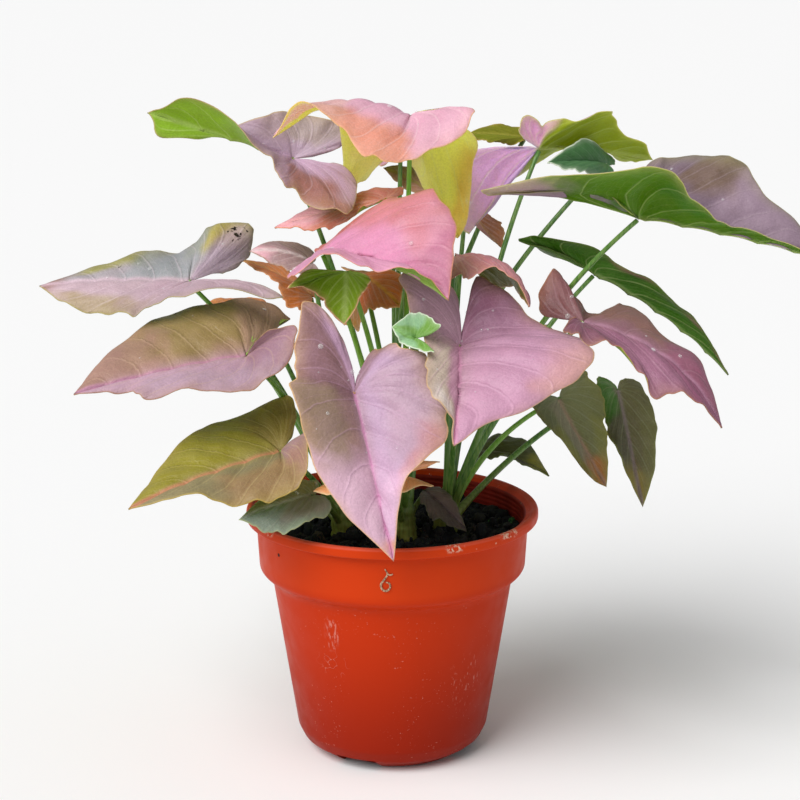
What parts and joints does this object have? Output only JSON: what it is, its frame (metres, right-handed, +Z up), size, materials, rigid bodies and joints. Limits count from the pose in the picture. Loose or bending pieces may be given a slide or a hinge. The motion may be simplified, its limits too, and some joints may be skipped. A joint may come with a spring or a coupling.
{
  "type": "potted arrowhead plant",
  "caption": "Bushy houseplant with wavy arrowhead leaves in pink, lilac, coral and olive on thin green stalks, in a tapered orange-red plastic nursery pot filled with dark soil.",
  "frame": {"origin": "centre of the flat underside of the pot, on the surface it stands on", "axes": "+Z up along the pot's axis, +X to the right and +Y away as seen from the pictured side"},
  "size_m": [0.3982, 0.2555, 0.3409],
  "materials": {
    "pot": "moulded polypropylene, satin gloss, orange-red",
    "soil": "damp peat, matt and crumbly",
    "stem_left": "green leaf stalks, satin",
    "stem_middle": "green leaf stalks, satin",
    "stem_right": "green leaf stalks, satin",
    "stem_back": "green leaf stalks, satin",
    "blade_spot": "leaf blade, soft satin, mauve-grey with olive edges",
    "blade_olive_mid": "leaf blade, soft satin, brown-olive with a pink midrib",
    "blade_olive_low": "leaf blade, soft satin, olive-yellow",
    "blade_grey_low": "leaf blade, soft satin, grey-green",
    "blade_mauve_top": "leaf blade, soft satin, lilac",
    "blade_coral": "leaf blade, soft satin, coral",
    "blade_crest": "leaf blade, soft satin, pink",
    "blade_front": "leaf blade, soft satin, mauve-pink with olive and a bright midrib",
    "blade_dome": "leaf blade, soft satin, pink and coral",
    "blade_rose_right": "leaf blade, soft satin, pink",
    "blade_rose_small": "leaf blade, soft satin, rose",
    "blade_lilac_long": "leaf blade, soft satin, dark rose-lilac",
    "blade_wing": "leaf blade, soft satin, mauve above and green under",
    "blade_top_right": "leaf blade, soft satin, lilac above and olive under",
    "blade_green_long": "leaf blade, soft satin, dark green",
    "blade_dark_one": "leaf blade, soft satin, grey-olive with an orange tip",
    "blade_dark_two": "leaf blade, soft satin, grey-olive",
    "blade_low_back": "leaf blade, soft satin, dark green",
    "blade_soil_leaf": "leaf blade, soft satin, dark purple",
    "blade_amber": "leaf blade, soft satin, amber",
    "blade_mint": "leaf blade, soft satin, light green",
    "blade_rust": "leaf blade, soft satin, rust",
    "blade_olive_back": "leaf blade, soft satin, olive-yellow",
    "blade_apricot_low": "leaf blade, soft satin, orange",
    "blade_mauve_thin": "leaf blade, soft satin, brown-mauve",
    "blade_orange_back": "leaf blade, soft satin, orange",
    "blade_orange_far": "leaf blade, soft satin, pale orange",
    "blade_teal_back": "leaf blade, soft satin, dark bluish green",
    "blade_back_top": "leaf blade, soft satin, pink",
    "blade_back_mid": "leaf blade, soft satin, pink",
    "blade_back_left": "leaf blade, soft satin, brown-olive",
    "blade_back_right": "leaf blade, soft satin, pink",
    "blade_back_low": "leaf blade, soft satin, olive",
    "blade_back_side": "leaf blade, soft satin, olive",
    "blade_fold": "leaf blade, soft satin, yellow-green",
    "blade_olive_strip": "leaf blade, soft satin, olive"
  },
  "bodies": {
    "root": {"pot": "pot", "soil": "soil", "stem_left": "stem_left", "stem_middle": "stem_middle", "stem_right": "stem_right", "stem_back": "stem_back", "blade_spot": "blade_spot", "blade_olive_mid": "blade_olive_mid", "blade_olive_low": "blade_olive_low", "blade_grey_low": "blade_grey_low", "blade_mauve_top": "blade_mauve_top", "blade_coral": "blade_coral", "blade_crest": "blade_crest", "blade_front": "blade_front", "blade_dome": "blade_dome", "blade_rose_right": "blade_rose_right", "blade_rose_small": "blade_rose_small", "blade_lilac_long": "blade_lilac_long", "blade_wing": "blade_wing", "blade_top_right": "blade_top_right", "blade_green_long": "blade_green_long", "blade_dark_one": "blade_dark_one", "blade_dark_two": "blade_dark_two", "blade_low_back": "blade_low_back", "blade_soil_leaf": "blade_soil_leaf", "blade_amber": "blade_amber", "blade_mint": "blade_mint", "blade_rust": "blade_rust", "blade_olive_back": "blade_olive_back", "blade_apricot_low": "blade_apricot_low", "blade_mauve_thin": "blade_mauve_thin", "blade_orange_back": "blade_orange_back", "blade_orange_far": "blade_orange_far", "blade_teal_back": "blade_teal_back", "blade_back_top": "blade_back_top", "blade_back_mid": "blade_back_mid", "blade_back_left": "blade_back_left", "blade_back_right": "blade_back_right", "blade_back_low": "blade_back_low", "blade_back_side": "blade_back_side", "blade_fold": "blade_fold", "blade_olive_strip": "blade_olive_strip"}
  },
  "joints": []
}
